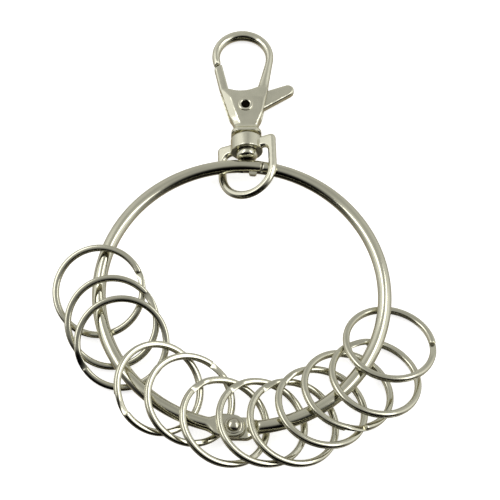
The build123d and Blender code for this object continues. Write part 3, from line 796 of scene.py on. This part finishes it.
def studio_world(look):
    """Light tent: grey cloth, two soft glows, a dark opening in front, shade and bounce below."""
    world = bpy.data.worlds.new("studio")
    world.use_nodes = True
    tree = world.node_tree
    nodes, links = tree.nodes, tree.links
    place = nodes.new("ShaderNodeTexCoord").outputs["Generated"]

    def lobe(middle, stops):
        near = nodes.new("ShaderNodeVectorMath")
        near.operation = "DOT_PRODUCT"
        near.inputs[1].default_value = middle
        links.new(place, near.inputs[0])
        marks = []
        for away, value in stops:
            colour = value if isinstance(value, tuple) else (value, value, value)
            marks.append((max(0.0, math.cos(math.radians(away))), colour))
        return colour_ramp(tree, near.outputs["Value"], marks, "EASE")

    parts = nodes.new("ShaderNodeSeparateXYZ")
    links.new(place, parts.inputs["Vector"])
    cloth = (0.15, look.tent_low), (0.9, look.tent_high)
    shade = colour_ramp(tree, parts.outputs["Z"], cloth)
    for azimuth, elevation in GLOWS:
        glow = lobe(toward(azimuth, elevation), (*GLOW_EDGE, (GLOW_CORE, look.glow)))
        shade = mixed(tree, "ADD", shade, glow)
    front = math.degrees(look.opening_azimuth)
    for azimuth, elevation, wider in OPENINGS:
        stops = [(away + wider, value) for away, value in OPENING_EDGE]
        opening = lobe(toward(front + azimuth, elevation), stops)
        shade = mixed(tree, "MULTIPLY", shade, opening)
    shade = mixed(tree, "MULTIPLY", shade, lobe(DOWN, BELOW_SHADE))
    shade = mixed(tree, "ADD", shade, lobe(DOWN, BELOW_BOUNCE))
    links.new(shade, nodes["Background"].inputs["Color"])
    return world


def white_paper(look):
    """Matt white paper with a faint fibre, lit through a little."""
    paper = bpy.data.materials.new("white_paper")
    paper.use_nodes = True
    tree = paper.node_tree
    shader = tree.nodes["Principled BSDF"]
    shader.inputs["Roughness"].default_value = 0.9
    shader.inputs["Specular IOR Level"].default_value = 0.1
    shader.inputs["Emission Color"].default_value = (1, 1, 1, 1)
    shader.inputs["Emission Strength"].default_value = look.floor_glow
    fibre = tree.nodes.new("ShaderNodeTexNoise")
    fibre.inputs["Scale"].default_value = 900.0
    tones = [(float(end), [grey] * 3) for end, grey in enumerate(PAPER_GREYS)]
    tone = colour_ramp(tree, fibre.outputs["Fac"], tones)
    tree.links.new(tone, shader.inputs["Base Color"])
    return paper


def strip_light(name, start, end, width, brightness):
    """Long soft box from start to end, facing the object."""
    start, end = Vector(start), Vector(end)
    light = bpy.data.lights.new(name, "AREA")
    light.shape = "RECTANGLE"
    light.size = (end - start).length
    light.size_y = width
    light.energy = brightness * math.pi * light.size * width
    lamp = bpy.data.objects.new(name, light)
    bpy.context.scene.collection.objects.link(lamp)
    middle = (start + end) / 2
    along = (end - start).normalized()
    back = (middle - middle.dot(along) * along).normalized()
    turn = Matrix((along, back.cross(along), back)).transposed().to_4x4()
    lamp.matrix_world = Matrix.Translation(middle) @ turn


class KEYRING_OT_stage(bpy.types.Operator):
    """White paper floor, tent, strip lights and the camera"""

    bl_idname = "keyring.stage"
    bl_label = "Stage"

    def execute(self, context):
        scene = context.scene
        look = scene.stage_look
        scene.view_settings.view_transform = "Standard"
        bpy.ops.mesh.primitive_plane_add(size=FLOOR_SIZE)
        floor = context.object
        floor.name = "floor"
        floor.data.materials.append(white_paper(look))
        floor.visible_glossy = False
        scene.world = studio_world(look)
        for side, name in ((-1, "strip_left"), (1, "strip_right")):
            start, end = ((side * x, y, z) for x, y, z in (STRIP_START, STRIP_END))
            strip_light(name, start, end, look.strip_width, look.strip_brightness)

        lens = bpy.data.cameras.new("camera")
        lens.lens = LENS
        lens.sensor_width = SENSOR
        lens.clip_start = 0.01
        camera = bpy.data.objects.new("camera", lens)
        scene.collection.objects.link(camera)
        away = Vector((0.0, -math.cos(look.camera_elevation), math.sin(look.camera_elevation)))
        camera.location = Vector(VIEW_MIDDLE) + away * CAMERA_DISTANCE
        camera.rotation_euler = away.to_track_quat("Z", "Y").to_euler()
        camera.rotation_euler.rotate_axis("Z", look.camera_roll)
        scene.camera = camera
        return {"FINISHED"}


class KEYRING_PT_sidebar(bpy.types.Panel):
    """Sizes, finishes and the steps that dress the key ring"""

    bl_label = "Key Ring"
    bl_idname = "KEYRING_PT_sidebar"
    bl_space_type = "VIEW_3D"
    bl_region_type = "UI"
    bl_category = "Key Ring"

    def draw(self, context):
        for group in PROPERTY_GROUPS:
            box = self.layout.box()
            settings = getattr(context.scene, group)
            for name in settings.bl_rna.properties.keys():
                if name not in ("name", "rna_type"):
                    box.prop(settings, name)
        for operator in OPERATORS:
            self.layout.operator(operator.bl_idname)


PROPERTY_GROUPS = {
    "ring_sizes": RingSizes,
    "split_ring_sizes": SplitRingSizes,
    "casting_sizes": CastingSizes,
    "nickel_look": NickelLook,
    "stage_look": StageLook,
}
OPERATORS = (
    KEYRING_OT_big_ring,
    KEYRING_OT_split_rings,
    KEYRING_OT_swivel,
    KEYRING_OT_clasp,
    KEYRING_OT_stage,
)


def register():
    for cls in (*PROPERTY_GROUPS.values(), *OPERATORS, KEYRING_PT_sidebar):
        bpy.utils.register_class(cls)
    for name, group in PROPERTY_GROUPS.items():
        setattr(bpy.types.Scene, name, bpy.props.PointerProperty(type=group))


def unregister():
    for name in PROPERTY_GROUPS:
        delattr(bpy.types.Scene, name)
    for cls in (KEYRING_PT_sidebar, *reversed(OPERATORS), *PROPERTY_GROUPS.values()):
        bpy.utils.unregister_class(cls)


def main():
    register()
    bpy.ops.keyring.big_ring()
    bpy.ops.keyring.split_rings()
    bpy.ops.keyring.swivel()
    bpy.ops.keyring.clasp()
    bpy.ops.keyring.stage()


if __name__ == "__main__":
    main()
